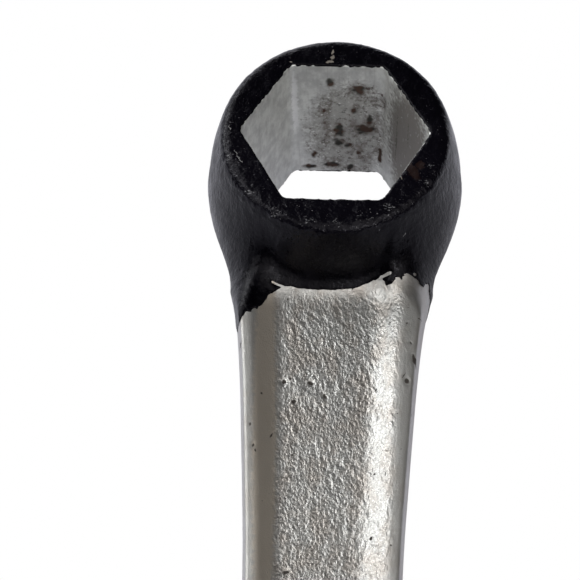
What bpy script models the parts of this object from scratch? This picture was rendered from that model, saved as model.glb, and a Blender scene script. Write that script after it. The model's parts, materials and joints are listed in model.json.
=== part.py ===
"""A 24 mm combination wrench: one drop forging under three coats of paint.

The wrench lies flat. +Z runs along the axis of the box end, and +Y from the open jaw to the
box end. The origin is on the surface it lies on, under the middle of its bounding box.
Everything is in metres.
"""

import math

import bmesh
import bpy
from mathutils import Matrix, Vector

# Nut size and overall length
ACROSS_FLATS = 0.0242                 # a 24 mm nut and its clearance
CENTRE_DISTANCE = 0.245               # axis of the box end to the middle of the jaw
DRAFT = math.radians(7)               # of the shank's sides, both ways from the parting line

# Box end
RING_HEIGHT = 0.0274
RING_RADIUS = 0.01915                 # at the parting line, halfway up, across the shank
RIM_RADIUS = 0.0165                   # at both faces, before their edges are rounded
RING_STRETCH = 1.035                  # length along the shank over width across it
RING_EDGE = 0.0014                    # rounding of both rims
RING_STEPS = 48                       # sides of the turned ring
RIM_STEPS = 3                         # facets of a rim's rounding
BARREL_STEPS = 3                      # facets from a rim to the parting line

# Shank, an I section: two rails with a sunken web between them, front and back
RAIL_HALF_HEIGHT = 0.0050
WEB_HALF_HEIGHT = 0.0030
SHANK_HALF_WIDTH = 0.01025            # at its narrowest
SHANK_TAPER = 0.0743                  # half width gained for each metre towards the box end
TAPER_START = 0.0664                  # from the box end's axis
TAPER_BLEND = 0.0060
WEB_SHARE = 0.565                     # of the shank's width, before its flares
RAIL_SLOPE = 0.0021                   # width of the slope from the web up to a rail
RAIL_EDGE = 0.0011                    # rounding of the rails' outer edges
CROWN = 0.0002                        # rise of the web and the neck towards the middle
WEB_END = 0.0430                      # where the web runs out, from the middle of the jaw
WEB_TIP = 0.0006                      # least half width of the web, where it runs out
SHANK_START = 0.0080                  # from the box end's axis, inside the ring
SHANK_FINISH = 0.0190                 # from the middle of the jaw, inside the head

# Fillets between the shank and its two ends
FILLET_RADIUS = 0.0030                # box end's wall to the web
RING_FLARE = 0.0012
RING_FLARE_LENGTH = 0.0050
JAW_FLARE = 0.0052
JAW_FLARE_LENGTH = 0.0065
JAW_FLARE_REACH = 0.0208              # from the middle of the jaw

# Open end
JAW_ANGLE = math.radians(15)
HEAD_RADIUS = 0.0260
HEAD_HALF_HEIGHT = 0.0060
HEAD_EDGE = 0.0018
HEAD_STEPS = 30
TIP_LENGTH = 0.0258                   # middle of the jaw to the tips
TIP_CHAMFER = (0.0035, 0.0012)        # across and along the tip's outer corner
TIP_SHOULDER = 0.0205
TIP_HALF_WIDTH = 0.0196               # at the shoulder
PRONG_ANGLE = math.radians(28)        # where the round head gives way to the prongs
RELIEF_RADIUS = 0.0020                # round at the bottom of the throat
RELIEF_SETBACK = 0.0008

# Coats of paint
COAT = 0.0005
GAP = 0.0003                          # between any two pieces
RING_COAT_RADIUS = 0.0216             # the black paint on the box end stops here
JAW_COAT_RADIUS = 0.0320              # and here on the open end

# Places worked out from the dimensions above
HEX_SIDE = ACROSS_FLATS / math.sqrt(3)
TIP_REACH = (TIP_LENGTH * math.cos(JAW_ANGLE)
             + (TIP_HALF_WIDTH - TIP_CHAMFER[0]) * math.sin(JAW_ANGLE))
RING_REACH = RING_RADIUS * RING_STRETCH
RING_Y = (CENTRE_DISTANCE + TIP_REACH - RING_REACH) / 2
JAW_Y = RING_Y - CENTRE_DISTANCE
PARTING_Z = RING_HEIGHT / 2
BEYOND = 0.02                         # how far a cutter runs past what it cuts


def new_collection(name):
    """Add an empty collection to the scene."""
    collection = bpy.data.collections.new(name)
    bpy.context.scene.collection.children.link(collection)
    return collection


def add_object(name, mesh, collection):
    """Link a mesh as a named object."""
    obj = bpy.data.objects.new(name, mesh)
    collection.objects.link(obj)
    return obj


def frozen(obj, name):
    """Return a mesh of the object as evaluated, in world space, with its seams welded."""
    bpy.context.view_layer.update()
    evaluated = obj.evaluated_get(bpy.context.evaluated_depsgraph_get())
    mesh = bpy.data.meshes.new_from_object(evaluated)
    mesh.name = name
    mesh.transform(obj.matrix_world)
    work = bmesh.new()
    work.from_mesh(mesh)
    bmesh.ops.remove_doubles(work, verts=work.verts, dist=1e-6)
    bmesh.ops.triangulate(work, faces=work.faces)
    work.to_mesh(mesh)
    work.free()
    return mesh


def boolean(obj, other, operation):
    """Add an exact Boolean modifier."""
    modifier = obj.modifiers.new(f"{operation.lower()} {other.name}", "BOOLEAN")
    modifier.operation = operation
    modifier.solver = "EXACT"
    modifier.object = other


def hide_as_cutter(obj):
    """Show a cutter as wires, and leave it out of renders."""
    obj.hide_render = True
    obj.display_type = "WIRE"


def softplus(value, width):
    """A ramp from 0 to value whose corner is rounded over the width."""
    return width * math.log1p(math.exp(value / width))


def shank_taper(distance):
    """Half width that the shank gains at a distance from the box end's axis."""
    return SHANK_TAPER * softplus(TAPER_START - distance, TAPER_BLEND)


def shank_half_width(distance):
    """Half width of the shank at the parting line, with its flares into both ends."""
    past_ring = max(0.0, distance - RING_REACH)
    before_jaw = max(0.0, CENTRE_DISTANCE - JAW_FLARE_REACH - distance)
    ring_flare = RING_FLARE * math.exp(-past_ring / RING_FLARE_LENGTH)
    jaw_flare = JAW_FLARE * math.exp(-before_jaw / JAW_FLARE_LENGTH)
    return SHANK_HALF_WIDTH + shank_taper(distance) + ring_flare + jaw_flare


def web_half_width(distance):
    """Half width of the flat web, which ends in a half circle near the jaw."""
    width = WEB_SHARE * (SHANK_HALF_WIDTH + shank_taper(distance))
    into_end = (distance - (CENTRE_DISTANCE - WEB_END - width)) / width
    if into_end <= 0:
        return width
    return width * math.sqrt(max(0.0, 1 - into_end * into_end))


def barrel_radius(height):
    """Radius of the box end across the shank, at a height from the parting line."""
    share = height / (RING_HEIGHT / 2)
    return RING_RADIUS - (RING_RADIUS - RIM_RADIUS) * share * share


def fillet_height(x, distance, inset):
    """Height that the fillet at the box end's wall reaches above the web."""
    wall = barrel_radius(WEB_HALF_HEIGHT + FILLET_RADIUS)
    radius = FILLET_RADIUS + inset
    from_centre = wall + FILLET_RADIUS - math.hypot(x, distance / RING_STRETCH)
    if from_centre <= 0:
        return 0.0
    from_centre = min(from_centre, radius)
    return FILLET_RADIUS - math.sqrt(radius * radius - from_centre * from_centre) + inset


def top_height(x, distance, sunken, inset):
    """Half height of the shank at a point, sunken by 1 on the web and by 0 on a rail."""
    plain = RAIL_HALF_HEIGHT - sunken * (RAIL_HALF_HEIGHT - WEB_HALF_HEIGHT)
    filleted = WEB_HALF_HEIGHT + fillet_height(x, distance, inset)
    crown = CROWN * (1 - (x / shank_half_width(distance)) ** 2)
    return max(plain, filleted) + crown - inset


def shank_section(distance, inset):
    """Outline of the shank's section as (x, z) points, right round from the right side."""
    half_width = shank_half_width(distance) - inset
    web = web_half_width(distance)
    sunken = min(1.0, web / RAIL_SLOPE)
    rail = web + WEB_TIP + RAIL_SLOPE * sunken
    side = half_width - (RAIL_HALF_HEIGHT - RAIL_EDGE) * math.tan(DRAFT)
    quarter = [(half_width, 0.0), (side, RAIL_HALF_HEIGHT - RAIL_EDGE)]
    top_edge = side - (RAIL_EDGE - inset)
    for x, sink in ((top_edge, 0.0), (rail, 0.0), (web + WEB_TIP / 2, sunken)):
        quarter.append((x, top_height(x, distance, sink, inset)))
    middle = [(0.0, top_height(0.0, distance, sunken, inset))]
    top = quarter + middle + [(-x, z) for x, z in reversed(quarter)]
    return top + [(x, -z) for x, z in reversed(top[1:-1])]


def shank_stations():
    """Distances from the box end's axis at which the shank has a section."""
    wall = [SHANK_START, 0.0145] + [0.0160 + 0.0012 * step for step in range(7)]
    middle = [0.0280, 0.0350, 0.0440, 0.0560, 0.0700, 0.0900, 0.1200, 0.1600]
    web_end = CENTRE_DISTANCE - WEB_END
    web_width = WEB_SHARE * SHANK_HALF_WIDTH
    run_out = [web_end - share * web_width for share in (1.0, 0.6, 0.3, 0.1, 0.0)]
    start = web_end + web_width / 2
    finish = CENTRE_DISTANCE - SHANK_FINISH
    neck = [start + (finish - start) * step / 7 for step in range(8)]
    return wall + middle + run_out + neck


def add_shank(inset, collection):
    """Loft the shank through its sections, from inside the box end to inside the head."""
    work = bmesh.new()
    rings = []
    for distance in shank_stations():
        y = RING_Y - distance
        points = shank_section(distance, inset)
        rings.append([work.verts.new((x, y, PARTING_Z + z)) for x, z in points])
    count = len(rings[0])
    for near, far in zip(rings, rings[1:]):
        for i in range(count):
            j = (i + 1) % count
            work.faces.new((near[i], near[j], far[j], far[i]))
    work.faces.new(reversed(rings[0]))
    work.faces.new(rings[-1])
    bmesh.ops.triangulate(work, faces=work.faces)
    mesh = bpy.data.meshes.new("shank")
    work.to_mesh(mesh)
    work.free()
    return add_object("shank", mesh, collection)


def ring_profile(inset):
    """Half of the box end's section as (radius, height), from its top to its bottom."""
    half_height = RING_HEIGHT / 2 - inset
    lean = math.atan(4 * (RING_RADIUS - RIM_RADIUS) / RING_HEIGHT)
    edge = RING_EDGE - inset
    centre = RIM_RADIUS - inset - edge * (1 / math.cos(lean) - math.tan(lean))
    quarter = [(0.0, half_height)]
    for step in range(RIM_STEPS + 1):
        angle = (math.pi / 2 - lean) * step / RIM_STEPS
        quarter.append((centre + edge * math.sin(angle),
                        half_height - edge + edge * math.cos(angle)))
    start = quarter[-1][1]
    for step in range(1, BARREL_STEPS):
        height = start * (1 - step / BARREL_STEPS)
        quarter.append((barrel_radius(height) - inset, height))
    return quarter + [(RING_RADIUS - inset, 0.0)] + [(r, -z) for r, z in reversed(quarter)]


def add_ring(inset, collection):
    """Turn the box end as a solid barrel, which the hexagon is cut through later."""
    points = ring_profile(inset)
    mesh = bpy.data.meshes.new("barrel")
    edges = [(i, i + 1) for i in range(len(points) - 1)]
    mesh.from_pydata([(r, 0.0, z) for r, z in points], edges, [])
    barrel = add_object("barrel", mesh, collection)
    barrel.location = (0.0, RING_Y, PARTING_Z)
    barrel.scale = (1.0, RING_STRETCH, 1.0)
    screw = barrel.modifiers.new("turn", "SCREW")
    screw.steps = RING_STEPS
    screw.render_steps = RING_STEPS
    screw.use_merge_vertices = True
    screw.merge_threshold = 1e-6
    return barrel


def inset_outline(points, inset):
    """Move each side of a convex outline, which runs anticlockwise, inwards."""
    moved = []
    for before, point, after in zip(points[-1:] + points[:-1], points, points[1:] + points[:1]):
        first = (point - before).normalized()
        second = (after - point).normalized()
        inward = Vector((-first.y - second.y, first.x + second.x)).normalized()
        moved.append(point + inward * inset / max(0.3, inward.dot(Vector((-first.y, first.x)))))
    return moved


def head_outline(inset):
    """Outline of the open end without its slot, across and along the jaw."""
    prong = [Vector((TIP_HALF_WIDTH, TIP_SHOULDER)),
             Vector((TIP_HALF_WIDTH - TIP_CHAMFER[0] / 2, TIP_LENGTH - TIP_CHAMFER[1])),
             Vector((TIP_HALF_WIDTH - TIP_CHAMFER[0], TIP_LENGTH))]
    left = [Vector((-point.x, point.y)) for point in reversed(prong)]
    sweep = math.pi + 2 * PRONG_ANGLE
    back = []
    for step in range(HEAD_STEPS + 1):
        angle = math.pi - PRONG_ANGLE + sweep * step / HEAD_STEPS
        back.append(HEAD_RADIUS * Vector((math.cos(angle), math.sin(angle))))
    return inset_outline(left + back + prong, inset)


def slot_outline():
    """Outline of the slot: two flats, a hexagon's two sides, and a round relief."""
    half = ACROSS_FLATS / 2
    mouth = TIP_LENGTH + BEYOND
    centre = Vector((0.0, RELIEF_SETBACK - HEX_SIDE))
    across = math.tan(math.pi / 6)
    b = -2 * RELIEF_SETBACK * across
    c = RELIEF_SETBACK ** 2 - RELIEF_RADIUS ** 2
    a = 1 + across * across
    meet = (-b + math.sqrt(b * b - 4 * a * c)) / (2 * a)
    start = math.atan2(meet * across - RELIEF_SETBACK, meet)
    relief = []
    for step in range(7):
        angle = start - (math.pi + 2 * start) * step / 6
        relief.append(centre + RELIEF_RADIUS * Vector((math.cos(angle), math.sin(angle))))
    right = [Vector((half, mouth)), Vector((half, -HEX_SIDE / 2))]
    left = [Vector((-point.x, point.y)) for point in reversed(right)]
    return right + relief + left


def add_plate(name, outline, half_height, place, collection):
    """Extrude a flat outline both ways from the parting plane."""
    curve = bpy.data.curves.new(name, "CURVE")
    curve.dimensions = "2D"
    curve.fill_mode = "BOTH"
    curve.extrude = half_height
    spline = curve.splines.new("POLY")
    spline.points.add(len(outline) - 1)
    for control, point in zip(spline.points, outline):
        control.co = (point.x, point.y, 0.0, 1.0)
    spline.use_cyclic_u = True
    flat = bpy.data.objects.new(name, curve)
    collection.objects.link(flat)
    flat.matrix_world = place
    mesh = frozen(flat, name)
    bpy.data.objects.remove(flat)
    bpy.data.curves.remove(curve)
    work = bmesh.new()
    work.from_mesh(mesh)
    limit = math.radians(1)
    bmesh.ops.dissolve_limit(work, angle_limit=limit, verts=work.verts, edges=work.edges)
    bmesh.ops.recalc_face_normals(work, faces=work.faces)
    work.to_mesh(mesh)
    work.free()
    return add_object(name, mesh, collection)


def jaw_place():
    """The jaw's own frame: Y runs out of its mouth, at an angle to the shank."""
    turn = Matrix.Rotation(math.pi - JAW_ANGLE, 4, "Z")
    return Matrix.Translation((0.0, JAW_Y, PARTING_Z)) @ turn


def add_head(inset, collection):
    """Make the open end without its slot, with its edges rounded."""
    half_height = HEAD_HALF_HEIGHT - inset
    head = add_plate("head", head_outline(inset), half_height, jaw_place(), collection)
    bevel = head.modifiers.new("round edges", "BEVEL")
    bevel.width = HEAD_EDGE
    bevel.segments = 2
    bevel.limit_method = "ANGLE"
    bevel.angle_limit = math.radians(60)
    return head


def add_wrench_solid(name, inset, collection):
    """The whole wrench without its hexagon and slot, its surface moved inwards."""
    barrel = add_ring(inset, collection)
    shank = add_shank(inset, collection)
    head = add_head(inset, collection)
    boolean(barrel, shank, "UNION")
    boolean(barrel, head, "UNION")
    solid = add_object(name, frozen(barrel, name), collection)
    for used in (barrel, shank, head):
        bpy.data.objects.remove(used)
    hide_as_cutter(solid)
    return solid


def add_hexagon(collection):
    """The box end's hexagon, with two corners across the shank."""
    bpy.ops.mesh.primitive_cylinder_add(
        vertices=6, radius=HEX_SIDE, depth=RING_HEIGHT + 2 * BEYOND,
        location=(0.0, RING_Y, PARTING_Z), rotation=(0.0, 0.0, math.pi / 6))
    return adopt_cutter("hexagon", collection)


def add_disc(name, radius, y, collection):
    """A tall round cutter that marks how far a coat of paint runs."""
    bpy.ops.mesh.primitive_cylinder_add(
        vertices=96, radius=radius, depth=RING_HEIGHT + 2 * BEYOND, location=(0.0, y, PARTING_Z))
    return adopt_cutter(name, collection)


def adopt_cutter(name, collection):
    """Name the primitive just added, and file it with the cutters."""
    obj = bpy.context.active_object
    obj.name = name
    for home in list(obj.users_collection):
        home.objects.unlink(obj)
    collection.objects.link(obj)
    hide_as_cutter(obj)
    return obj


def make_material(name, colour, roughness, metallic):
    """A Principled material."""
    material = bpy.data.materials.new(name)
    material.use_nodes = True
    shader = material.node_tree.nodes["Principled BSDF"]
    shader.inputs["Base Color"].default_value = (*colour, 1.0)
    shader.inputs["Roughness"].default_value = roughness
    shader.inputs["Metallic"].default_value = metallic
    return material


def add_piece(name, solid, steps, material, collection):
    """Cut one piece of the wrench from a copy of a solid."""
    piece = add_object(name, solid.data.copy(), collection)
    for operation, cutter in steps:
        boolean(piece, cutter, operation)
    piece.data.materials.clear()
    piece.data.materials.append(material)
    piece.data.shade_smooth()
    piece.data.set_sharp_from_angle(angle=math.radians(35))
    return piece


def build():
    """Build the wrench."""
    for obj in list(bpy.data.objects):
        bpy.data.objects.remove(obj)
    parts = new_collection("combination_wrench")
    cutters = new_collection("cutters")

    outer = add_wrench_solid("outer_surface", 0.0, cutters)
    under_paint = add_wrench_solid("under_paint", COAT, cutters)
    forging = add_wrench_solid("forging_blank", COAT + GAP, cutters)

    hexagon = add_hexagon(cutters)
    slot_depth = HEAD_HALF_HEIGHT + BEYOND
    slot = add_plate("slot", slot_outline(), slot_depth, jaw_place(), cutters)
    hide_as_cutter(slot)
    ring_line = add_disc("ring_paint_line", RING_COAT_RADIUS, RING_Y, cutters)
    ring_side = add_disc("ring_paint_side", RING_COAT_RADIUS + GAP, RING_Y, cutters)
    jaw_line = add_disc("jaw_paint_line", JAW_COAT_RADIUS, JAW_Y, cutters)
    jaw_side = add_disc("jaw_paint_side", JAW_COAT_RADIUS + GAP, JAW_Y, cutters)

    steel = make_material("bare forged steel", (0.30, 0.29, 0.27), 0.45, 0.9)
    silver = make_material("silver paint", (0.42, 0.41, 0.39), 0.42, 0.7)
    black = make_material("black enamel", (0.006, 0.006, 0.010), 0.22, 0.0)

    add_piece("forged_body", forging,
              [("DIFFERENCE", hexagon), ("DIFFERENCE", slot)], steel, parts)
    add_piece("ring_black_coat", outer,
              [("INTERSECT", ring_line), ("DIFFERENCE", under_paint),
               ("DIFFERENCE", hexagon)], black, parts)
    add_piece("shank_silver_coat", outer,
              [("DIFFERENCE", ring_side), ("DIFFERENCE", jaw_side),
               ("DIFFERENCE", under_paint)], silver, parts)
    add_piece("jaw_black_coat", outer,
              [("INTERSECT", jaw_line), ("DIFFERENCE", under_paint),
               ("DIFFERENCE", slot)], black, parts)


build()
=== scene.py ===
"""Looks of the 24 mm combination wrench: forged steel, black enamel and silver paint.

Every skin is cut from one implicit shape of the whole wrench. Lengths here are millimetres in
the wrench's own terms: x across, d from the box end's axis towards the jaw, z up from the
parting line. They become metres in the frame only where a mesh is made.
"""

import itertools
import json
import math

import bpy
import numpy as np
from mathutils import Matrix, Vector


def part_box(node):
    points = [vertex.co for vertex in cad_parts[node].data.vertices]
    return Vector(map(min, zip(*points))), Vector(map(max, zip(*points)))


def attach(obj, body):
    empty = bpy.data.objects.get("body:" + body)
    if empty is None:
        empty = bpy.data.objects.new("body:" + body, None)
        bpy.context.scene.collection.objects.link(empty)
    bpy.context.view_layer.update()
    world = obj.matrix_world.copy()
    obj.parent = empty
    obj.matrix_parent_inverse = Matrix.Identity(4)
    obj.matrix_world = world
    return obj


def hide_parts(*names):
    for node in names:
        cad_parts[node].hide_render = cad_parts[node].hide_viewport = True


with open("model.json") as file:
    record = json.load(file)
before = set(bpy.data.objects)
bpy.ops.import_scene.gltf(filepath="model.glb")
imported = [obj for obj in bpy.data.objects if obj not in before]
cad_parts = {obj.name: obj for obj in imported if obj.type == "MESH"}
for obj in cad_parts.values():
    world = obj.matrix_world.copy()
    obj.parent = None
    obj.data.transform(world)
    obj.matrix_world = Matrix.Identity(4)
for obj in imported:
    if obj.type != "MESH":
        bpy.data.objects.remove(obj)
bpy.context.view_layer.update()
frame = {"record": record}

# ---------------------------------------------------------------- sizes read from the frame

MM = 0.001
MOUNTS = {mount["name"]: mount for mount in frame["record"]["mounts"]}
RING_LO, RING_HI = ([value / MM for value in corner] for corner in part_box("ring_black_coat"))
JAW_LO, JAW_HI = ([value / MM for value in corner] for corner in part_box("jaw_black_coat"))
FLAT_YS = [MOUNTS[name]["pos_m"][1] / MM for name in ("hexagon_flat_far", "hexagon_flat_near")]
RING_Y = (FLAT_YS[0] + FLAT_YS[1]) / 2
HALF_FLATS = (FLAT_YS[0] - FLAT_YS[1]) / 2
RING_RADIUS = RING_HI[0]
RING_REACH = RING_HI[1] - RING_Y
RING_STRETCH = RING_REACH / RING_RADIUS
RING_HALF = (RING_HI[2] - RING_LO[2]) / 2
PARTING_Z = (RING_HI[2] + RING_LO[2]) / 2
HEX_SIDE = 2 * HALF_FLATS / math.sqrt(3)
HEAD_HALF = (JAW_HI[2] - JAW_LO[2]) / 2
JAW_ACROSS = np.array(MOUNTS["jaw_flat_left"]["axis"][:2])
JAW_OUT = np.array([-JAW_ACROSS[1], JAW_ACROSS[0]]) * -np.sign(JAW_ACROSS[0])
FLAT_SETBACK = 8.0                       # the jaw's mounts are this far out from its middle
JAW_MIDDLE = sum(np.array(MOUNTS[name]["pos_m"][:2]) / MM
                 for name in ("jaw_flat_left", "jaw_flat_right")) / 2 - FLAT_SETBACK * JAW_OUT
JAW_DISTANCE = float(RING_Y - JAW_MIDDLE[1])

# ---------------------------------------------------------------- sizes of the forging

DRAFT = math.radians(7)
RIM_RADIUS = 16.5
SHANK_HALF_WIDTH = 10.25
SHANK_TAPER = 0.0743
TAPER_START = 66.4
TAPER_BLEND = 6.0
RING_FLARE = 1.2
RING_FLARE_LENGTH = 5.0
JAW_FLARE = 5.2
JAW_FLARE_LENGTH = 6.5
JAW_FLARE_REACH = 20.8
RAIL_HALF_HEIGHT = 5.0
WEB_HALF_HEIGHT = 3.0
WEB_SHARE = 0.565
RAIL_SLOPE = 2.0                         # on the right; the left slope is the wider one
LEFT_RAIL = 2.3
FOOT_SHIFT = 0.2                         # the right slope starts this much nearer the middle
SLOPE_SOFTNESS = (0.08, 0.33)            # rounding of the slopes' corners, left and right
LEAN_WIDTH = 1.9                         # this much of the left rail leans outwards
RAIL_LEAN = 0.075                        # and this steeply
RAIL_ROUNDING = 0.4                      # of the rails' outer edges
RING_ROUNDING = 7.5                      # more rounding, close to the box end
SHANK_START = 5.0
SHANK_STOP = 16.0                        # the shank stops this far short of the jaw's middle
SHANK_FADE = 9.0                         # and sinks into the head over this length
WEB_END = 43.0
WEB_CLOSE = 4.5                          # closes the web past its round end
CROWN = 0.2
HEAD_RADIUS = 26.0
TIP = ((19.6, 20.5), (17.85, 24.6), (16.1, 25.8))
PRONG_ANGLE = math.radians(28)


# ---------------------------------------------------------------- fields

def smooth_max(a, b, width):
    """The larger of two fields, with the corner between them rounded over a width."""
    overlap = np.maximum(width - np.abs(a - b), 0.0) / width
    return np.maximum(a, b) + overlap * overlap * width / 4


def smooth_min(a, b, width):
    """The smaller of two fields, with a fillet between them."""
    return -smooth_max(-a, -b, width)


def soft_abs(value, width):
    """Distance from zero, without a corner at zero."""
    return np.sqrt(value * value + width * width) - width


def ramp(value, low, high):
    """A smooth step from 0 at low to 1 at high."""
    share = np.clip((value - low) / (high - low), 0.0, 1.0)
    return share * share * (3 - 2 * share)


def softplus(value, width):
    """A ramp from 0 to value whose corner is rounded over the width."""
    return width * np.logaddexp(0.0, value / width)


def polygon_field(u, v, points):
    """Signed distance to a closed outline, negative inside."""
    nearest = np.full(np.broadcast(u, v).shape, 1e9)
    inside = np.ones(nearest.shape)
    for (ax, ay), (bx, by) in zip(points, points[1:] + points[:1]):
        ex, ey = bx - ax, by - ay
        wx, wy = u - ax, v - ay
        share = np.clip((wx * ex + wy * ey) / (ex * ex + ey * ey), 0.0, 1.0)
        nearest = np.minimum(nearest, (wx - ex * share) ** 2 + (wy - ey * share) ** 2)
        above, below = v >= ay, v < by
        left = ex * wy > ey * wx
        crossing = (above & below & left) | (~above & ~below & ~left)
        inside = np.where(crossing, -inside, inside)
    return np.sqrt(nearest) * inside


def shank_taper(d):
    """Half width that the shank gains towards the box end."""
    return SHANK_TAPER * softplus(TAPER_START - d, TAPER_BLEND)


def shank_half_width(d):
    """Half width of the shank at the parting line."""
    ring_flare = RING_FLARE * np.exp(-np.maximum(d - RING_REACH, 0.0) / RING_FLARE_LENGTH)
    before_jaw = np.maximum(JAW_DISTANCE - JAW_FLARE_REACH - d, 0.0)
    jaw_flare = JAW_FLARE * np.exp(-before_jaw / JAW_FLARE_LENGTH)
    return SHANK_HALF_WIDTH + shank_taper(d) + ring_flare + jaw_flare


def web_half_width(d):
    """Half width of the sunken web, which ends in a half circle before the jaw."""
    width = WEB_SHARE * (SHANK_HALF_WIDTH + shank_taper(d))
    into_end = np.clip((d - (JAW_DISTANCE - WEB_END - width)) / width, 0.0, 1.3)
    return width * np.sqrt(np.maximum(1 - into_end * into_end, 0.0)) - WEB_CLOSE * (into_end > 1)


def slope_width(x, d):
    """Width of the slope between the web and a rail. The left rail is the narrow one."""
    left = (1 - WEB_SHARE) * (SHANK_HALF_WIDTH + shank_taper(d)) - LEFT_RAIL
    return np.where(x < 0, left, RAIL_SLOPE)


def rail_share(x, d):
    """0 on the sunken web, 1 on a rail, and a soft-cornered slope between them."""
    foot = web_half_width(d) - FOOT_SHIFT * (x > 0)
    slope = (np.abs(x) - foot) / slope_width(x, d)
    soft = np.where(x < 0, *SLOPE_SOFTNESS)
    return np.clip(softplus(slope, soft) - softplus(slope - 1, soft), 0.0, 1.0)


def shank_field(x, d, z):
    """The shank: an I section with draft on its sides."""
    rise = RAIL_HALF_HEIGHT - WEB_HALF_HEIGHT
    share = rail_share(x, d)
    outer_rail = np.maximum(np.abs(x) - shank_half_width(d) + LEAN_WIDTH, 0.0)
    height = WEB_HALF_HEIGHT + CROWN + rise * share - RAIL_LEAN * outer_rail * (x < 0)
    steepness = np.hypot(1.0, rise / slope_width(x, d) * 4 * share * (1 - share))
    top = (np.abs(z) - height) / steepness
    half_width = shank_half_width(d) - soft_abs(z, 0.8) * math.tan(DRAFT)
    side = (np.abs(x) - half_width) * math.cos(DRAFT)
    edge = RAIL_ROUNDING + RING_ROUNDING * ramp(-d, -27.0, -16.0)
    bar = np.maximum(smooth_max(top, side, edge), SHANK_START - d)
    return smooth_max(bar, d - JAW_DISTANCE + SHANK_STOP, SHANK_FADE)


def ring_field(x, d, z):
    """The box end as a solid barrel, whose wall curves in towards both rims."""
    share = np.minimum(np.abs(z) / RING_HALF, 1.1)
    fall = RING_RADIUS - RIM_RADIUS
    radius = RING_RADIUS - fall * share * share
    side = (np.hypot(x, d / RING_STRETCH) - radius) / np.hypot(1.0, 2 * fall * share / RING_HALF)
    return smooth_max(side, np.abs(z) - RING_HALF, 1.3)


def hexagon_field(x, d):
    """The nut's hexagon, negative inside it, with small fillets in its corners."""
    c, s = math.cos(math.pi / 6), math.sin(math.pi / 6)
    across = smooth_max(np.abs(d), np.abs(c * x + s * d), 0.9)
    return smooth_max(across, np.abs(c * x - s * d), 0.9) - HALF_FLATS


def to_jaw(x, d):
    """Turn x and d into the jaw's own axes: across it, and out of its mouth."""
    east, north = x, JAW_DISTANCE - d
    u = east * JAW_OUT[1] - north * JAW_OUT[0]
    v = east * JAW_OUT[0] + north * JAW_OUT[1]
    return u, v


def head_outline():
    """Outline of the open end without its slot."""
    steps = 40
    sweep = math.pi + 2 * PRONG_ANGLE
    start = math.pi - PRONG_ANGLE
    angles = [start + sweep * step / steps for step in range(steps + 1)]
    back = [(HEAD_RADIUS * math.cos(a), HEAD_RADIUS * math.sin(a)) for a in angles]
    left = [(-u, v) for u, v in reversed(TIP)]
    return left + back + list(TIP)


def head_field(x, d, z):
    """The open end without its slot."""
    u, v = to_jaw(x, d)
    plan = polygon_field(u, v, head_outline()) + soft_abs(z, 0.8) * 0.06
    return smooth_max(plan, np.abs(z) - HEAD_HALF, 3.0)


def slot_field(x, d):
    """The jaw's slot, negative inside it."""
    u, v = to_jaw(x, d)
    side = np.abs(u) - HALF_FLATS
    slope = math.cos(math.pi / 6) * -v + math.sin(math.pi / 6) * np.abs(u) - HALF_FLATS
    relief = np.hypot(u, v - 0.8 + HEX_SIDE) - 2.0
    return smooth_min(smooth_max(side, slope, 0.9), relief, 0.6)


def outer_field(x, d, z):
    """The whole wrench without its hexagon and slot."""
    shank = shank_field(x, d, z)
    fillet = 4.0 + 2.5 * ramp(np.abs(x), 4.0, 9.0) - 1.2 * ramp(np.abs(x), 10.0, 15.0)
    body = smooth_min(shank, ring_field(x, d, z), fillet)
    return smooth_min(body, head_field(x, d, z), 5.0)


def openings_field(x, d):
    """The hexagon and the slot, negative inside them."""
    return np.minimum(hexagon_field(x, d), slot_field(x, d))


# ---------------------------------------------------------------- surface nets

def surface_net(axes, values):
    """Quads over the zero level of values, one vertex in each grid cell that it crosses."""
    inside = values < 0
    cells = tuple(n - 1 for n in values.shape)
    count = np.zeros(cells, np.int8)
    for i, j, k in itertools.product((0, 1), repeat=3):
        count += inside[i:cells[0] + i, j:cells[1] + j, k:cells[2] + k]
    active = (count > 0) & (count < 8)
    where = np.argwhere(active)
    index = np.full(cells, -1, np.int64)
    index[active] = np.arange(len(where))
    total = np.zeros((len(where), 3))
    hits = np.zeros(len(where))
    for axis in range(3):
        others = [k for k in range(3) if k != axis]
        for a, b in itertools.product((0, 1), repeat=2):
            low = where.copy()
            low[:, others[0]] += a
            low[:, others[1]] += b
            high = low.copy()
            high[:, axis] += 1
            f0 = values[tuple(low.T)]
            f1 = values[tuple(high.T)]
            cross = (f0 < 0) != (f1 < 0)
            share = np.where(cross, f0 / np.where(cross, f0 - f1, 1.0), 0.0)
            point = np.empty((len(where), 3))
            for k in range(3):
                point[:, k] = axes[k][low[:, k]]
            step = axes[axis][high[:, axis]] - axes[axis][low[:, axis]]
            point[:, axis] += share * step
            total += point * cross[:, None]
            hits += cross
    vertices = total / hits[:, None]
    quads = []
    for axis in range(3):
        b, c = (axis + 1) % 3, (axis + 2) % 3
        first = [slice(None)] * 3
        first[axis] = slice(0, -1)
        second = [slice(None)] * 3
        second[axis] = slice(1, None)
        f0, f1 = inside[tuple(first)], inside[tuple(second)]
        for flip, change in ((False, f0 & ~f1), (True, ~f0 & f1)):
            edges = np.argwhere(change)
            keep = ((edges[:, b] > 0) & (edges[:, c] > 0)
                    & (edges[:, b] < values.shape[b] - 1) & (edges[:, c] < values.shape[c] - 1))
            edges = edges[keep]
            corners = []
            for db, dc in ((1, 1), (0, 1), (0, 0), (1, 0)):
                cell = edges.copy()
                cell[:, b] -= db
                cell[:, c] -= dc
                corners.append(index[tuple(cell.T)])
            if flip:
                corners.reverse()
            quads.append(np.stack(corners, axis=1))
    return vertices, np.concatenate(quads)


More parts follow.
